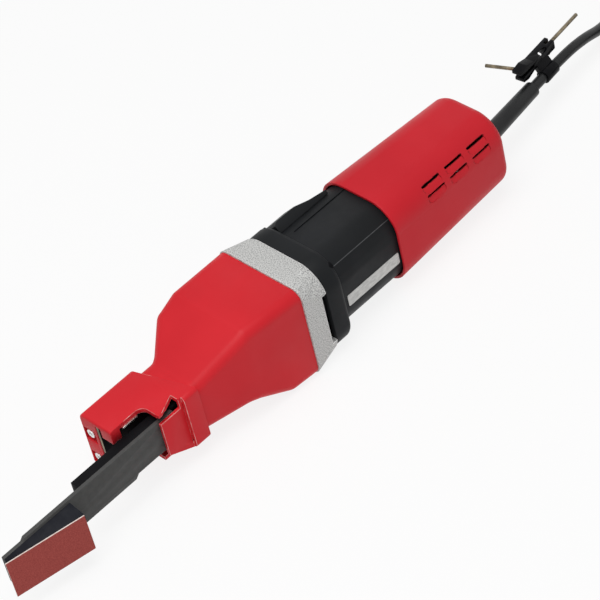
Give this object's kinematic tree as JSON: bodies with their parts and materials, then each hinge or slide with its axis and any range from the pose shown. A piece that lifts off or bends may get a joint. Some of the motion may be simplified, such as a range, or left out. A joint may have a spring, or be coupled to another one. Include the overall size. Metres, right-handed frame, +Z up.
{
  "type": "finger sander",
  "caption": "Hand-held power sander with a long thin swinging finger that carries a tapered abrasive shoe, a gear head, a motor barrel with slide switch and a mains lead.",
  "frame": {"origin": "on the plane that the tool rests on, under the middle of the aluminium ring", "axes": "+X along the motor axis towards the lead, +Z up; the nose is open towards -Y"},
  "size_m": [0.7906, 0.1511, 0.08],
  "materials": {
    "red_metal": "satin",
    "red_plastic": "satin",
    "black_plastic": "satin",
    "cast_aluminium": "satin",
    "black_rubber": "matte",
    "black_steel": "satin",
    "dark_steel": "satin",
    "shoe_rubber": "matte",
    "abrasive": "matte",
    "bright_steel": "satin",
    "screw_steel": "satin",
    "bronze": "satin",
    "laminations": "matte",
    "copper": "satin",
    "fan_plastic": "satin",
    "carbon": "matte",
    "capacitor_film": "gloss",
    "pin_metal": "satin"
  },
  "bodies": {
    "housing": {"gear_ring": "cast_aluminium", "head_cover": "red_metal", "nose_cover": "red_metal", "guide_plate": "bright_steel", "nose_screws": "screw_steel", "pivot_pin": "bright_steel", "shaft_bearing_outer_rings": "bright_steel", "bearing_plate": "cast_aluminium", "plate_screws": "screw_steel", "front_bearing_outer_ring": "bright_steel", "rear_bearing_outer_ring": "bright_steel", "motor_housing": "black_plastic", "flange_screws": "screw_steel", "switch_module": "black_plastic", "stator_core": "laminations", "field_coils": "copper", "brush_carrier": "black_plastic", "brush_holders": "bronze", "carbon_brushes": "carbon", "brush_springs": "screw_steel", "chassis": "black_plastic", "suppression_capacitor": "capacitor_film", "cord_clamp": "black_plastic", "clamp_screws": "screw_steel", "rear_cap": "red_plastic", "cap_screws": "screw_steel", "strain_relief": "black_rubber", "cord_inner": "black_rubber", "cord": "black_rubber", "cord_coil": "black_rubber", "plug": "black_rubber", "plug_pins": "pin_metal", "key_holder": "black_plastic", "fork_key": "bright_steel", "rear_key": "bright_steel"},
    "armature": {"armature_shaft": "bright_steel", "armature_core": "laminations", "armature_windings": "copper", "commutator": "copper", "fan": "fan_plastic", "pinion": "bright_steel", "front_bearing_inner_ring": "bright_steel", "rear_bearing_inner_ring": "bright_steel"},
    "eccentric": {"eccentric_shaft": "bright_steel", "eccentric_bearing": "bright_steel", "drive_gear": "bright_steel", "shaft_bearing_inner_rings": "bright_steel"},
    "finger": {"finger_arm": "black_steel", "finger_blade": "dark_steel", "finger_screws": "screw_steel", "sanding_shoe": "shoe_rubber", "abrasive_strip": "abrasive", "pivot_bush": "bronze"},
    "switch": {"switch_slider": "black_plastic", "switch_rod": "black_plastic"}
  },
  "joints": [
    {"name": "armature_spin", "type": "hinge", "parent": "housing", "child": "armature", "pos_m": [0, 0, 0.04], "axis": [1, 0, 0], "continuous": true},
    {"name": "eccentric_spin", "type": "hinge", "parent": "housing", "child": "eccentric", "pos_m": [0, -0.015, 0.04], "axis": [1, 0, 0], "continuous": true},
    {"name": "finger_swing", "type": "hinge", "parent": "housing", "child": "finger", "pos_m": [-0.108, 0, 0.04], "axis": [0, 1, 0], "range_deg": [-0.95, 0.95]},
    {"name": "switch_slide", "type": "slide", "parent": "housing", "child": "switch", "axis": [1, 0, 0], "range_m": [0, 0.007]}
  ],
  "couplings": [
    {"joint": "eccentric_spin", "follows": "armature_spin", "ratio": -0.37931}
  ]
}
